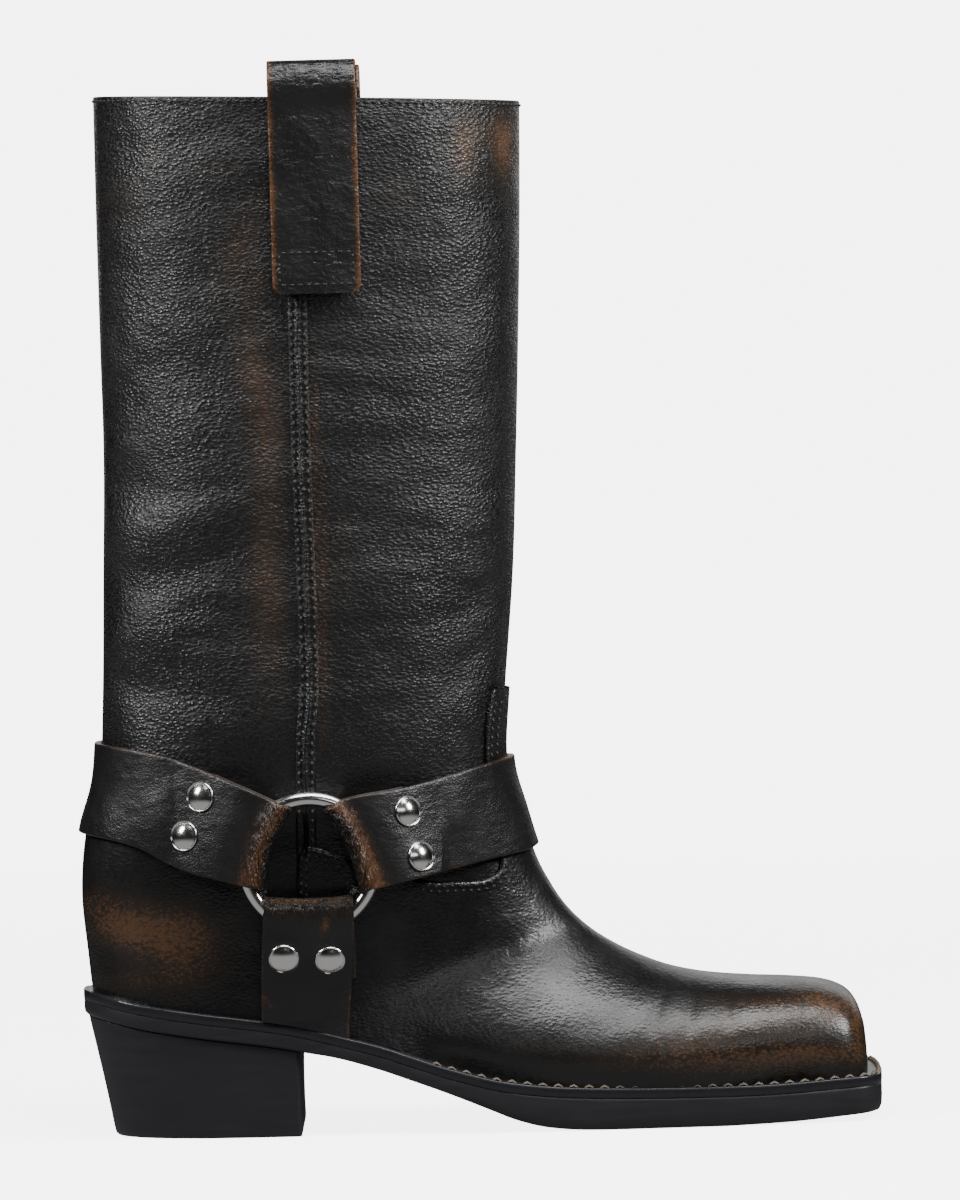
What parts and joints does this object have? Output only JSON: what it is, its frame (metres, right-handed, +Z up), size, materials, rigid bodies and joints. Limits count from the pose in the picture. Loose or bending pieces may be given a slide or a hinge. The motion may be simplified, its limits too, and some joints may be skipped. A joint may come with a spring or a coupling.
{
  "type": "leather harness boot",
  "caption": "Mid-calf pull-on harness boot in worn black leather, with square toe, block heel, welted sole, ring straps at the ankle and looped pull straps.",
  "frame": {"origin": "on the floor under the middle of the heel block's flat rest", "axes": "+X from heel to toe, +Y to the inner (medial) side, +Z up from the floor"},
  "size_m": [0.2813, 0.1124, 0.3781],
  "materials": {
    "upper_leather": "worn black leather with brown rub-off and a fine pebble grain",
    "strap_leather": "smooth black harness leather, brown at the folds",
    "sole_leather": "inked satin black sole edge, welt and heel",
    "insole_leather": "plain tan insole",
    "nickel": "polished nickel rings and domed rivets"
  },
  "bodies": {
    "root": {"upper": "upper_leather", "vamp": "upper_leather", "side_seam_lateral": "upper_leather", "side_seam_medial": "upper_leather", "pull_strap_lateral": "strap_leather", "pull_strap_medial": "strap_leather", "strap_rear": "strap_leather", "strap_front": "strap_leather", "strap_under_lateral": "strap_leather", "strap_under_medial": "strap_leather", "welt": "sole_leather", "outsole": "sole_leather", "heel": "sole_leather", "insole": "insole_leather", "ring_lateral": "nickel", "ring_medial": "nickel", "rivet_lateral_1": "nickel", "rivet_lateral_2": "nickel", "rivet_lateral_3": "nickel", "rivet_lateral_4": "nickel", "rivet_lateral_5": "nickel", "rivet_lateral_6": "nickel", "rivet_medial_1": "nickel", "rivet_medial_2": "nickel", "rivet_medial_3": "nickel", "rivet_medial_4": "nickel", "rivet_medial_5": "nickel", "rivet_medial_6": "nickel"}
  },
  "joints": []
}
